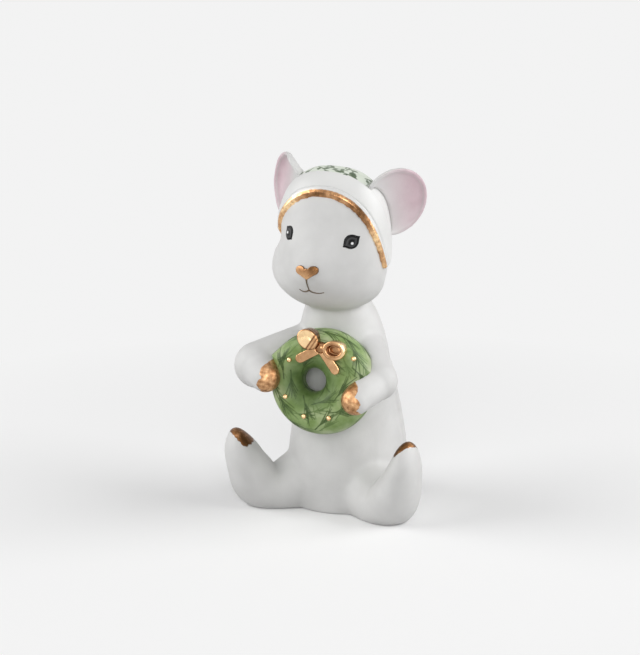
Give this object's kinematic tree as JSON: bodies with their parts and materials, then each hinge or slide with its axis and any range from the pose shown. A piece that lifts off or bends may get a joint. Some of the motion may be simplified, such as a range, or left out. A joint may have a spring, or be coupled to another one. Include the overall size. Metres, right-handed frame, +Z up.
{
  "type": "mouse figurine",
  "caption": "Seated porcelain mouse with cupped ears and a close-fitting hat, hugging a round green wreath with a gilded ribbon bow; a free-standing ornament.",
  "frame": {"origin": "on the table, under the middle of the torso's round seat", "axes": "+Z up, the mouse faces -Y, its left side is at +X"},
  "size_m": [0.049, 0.0387, 0.0831],
  "materials": {
    "bisque": "matte unglazed biscuit porcelain",
    "white_glaze": "soft glossy white glaze",
    "crown_glaze": "glossy pale green glaze with painted sprigs",
    "ear_bisque": "matte porcelain tinted pink inside the cup",
    "green_paint": "satin green brushwork",
    "gold_lustre": "fired gold lustre, mirror-like with brush mottling",
    "eye_paint": "glossy black enamel"
  },
  "bodies": {
    "root": {"arm_left": "bisque", "arm_right": "bisque", "bow_knot": "gold_lustre", "bow_loop_left": "gold_lustre", "bow_loop_right": "gold_lustre", "bow_tail_left": "gold_lustre", "bow_tail_right": "gold_lustre", "ear_left": "ear_bisque", "ear_right": "ear_bisque", "eye_left": "eye_paint", "eye_right": "eye_paint", "hat_band": "white_glaze", "hat_crown": "crown_glaze", "hat_gold_edge": "gold_lustre", "head": "bisque", "leg_left": "bisque", "leg_right": "bisque", "nose": "gold_lustre", "paw_left": "gold_lustre", "paw_right": "gold_lustre", "tail": "bisque", "toe_left": "gold_lustre", "toe_right": "gold_lustre", "torso": "bisque", "wreath": "green_paint", "wreath_berries": "gold_lustre"}
  },
  "joints": []
}
